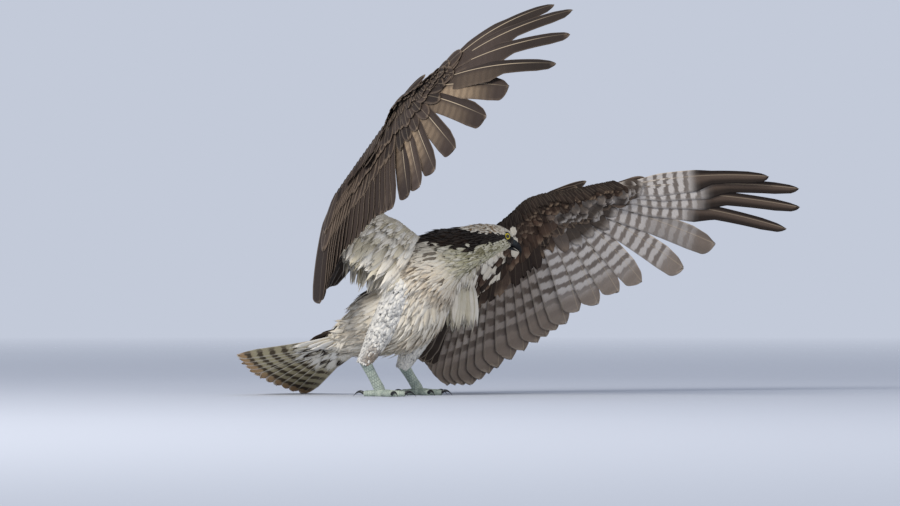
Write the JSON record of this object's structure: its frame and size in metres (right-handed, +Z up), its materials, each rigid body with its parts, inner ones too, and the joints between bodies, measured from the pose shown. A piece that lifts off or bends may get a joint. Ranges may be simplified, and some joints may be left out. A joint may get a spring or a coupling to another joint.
{
  "type": "osprey, life-size standing bird with raised wings",
  "caption": "Life-size osprey just landed: wings held up and swept forward, tail fanned, head low and turned aside; feathers as overlapping vanes, resting on its feet.",
  "frame": {"origin": "on the floor under the middle of the left foot's sole", "axes": "+Z up, +X level along the longest reach from the tail's tip to the left wing's tip, -Y towards the side from which the picture looks"},
  "size_m": [1.0257, 0.6453, 0.6872],
  "materials": {
    "white_plumage": "soft white body feathers with cream and tan streaks",
    "brown_plumage": "dark brown back and nape feathers with paler edges",
    "head_plumage": "white crown and throat with a dark brown band through the eye",
    "flight_feathers": "brown above, barred grey-brown and white below, pale shafts",
    "tail_feathers": "barred dark brown and buff with rufous tips",
    "bill_horn": "black horn, semi-gloss, blue-grey towards the base",
    "claw_horn": "black horn, semi-gloss",
    "eye": "yellow iris, black pupil, wet gloss",
    "scaly_skin": "pale grey-green scaly skin"
  },
  "bodies": {
    "root": {"torso": "white_plumage", "neck": "brown_plumage", "head": "head_plumage", "tail": "tail_feathers", "bill_upper": "bill_horn", "bill_lower": "bill_horn", "eye_left": "eye", "thigh_left": "white_plumage", "tarsus_left": "scaly_skin", "foot_left": "scaly_skin", "claw_middle_left": "claw_horn", "claw_inner_left": "claw_horn", "claw_outer_left": "claw_horn", "claw_hind_left": "claw_horn", "wing_left_hand": "flight_feathers", "wing_left_forearm": "flight_feathers", "wing_left_arm": "flight_feathers", "eye_right": "eye", "thigh_right": "white_plumage", "tarsus_right": "scaly_skin", "foot_right": "scaly_skin", "claw_middle_right": "claw_horn", "claw_inner_right": "claw_horn", "claw_outer_right": "claw_horn", "claw_hind_right": "claw_horn", "wing_right_hand": "flight_feathers", "wing_right_forearm": "flight_feathers", "wing_right_arm": "flight_feathers"}
  },
  "joints": []
}
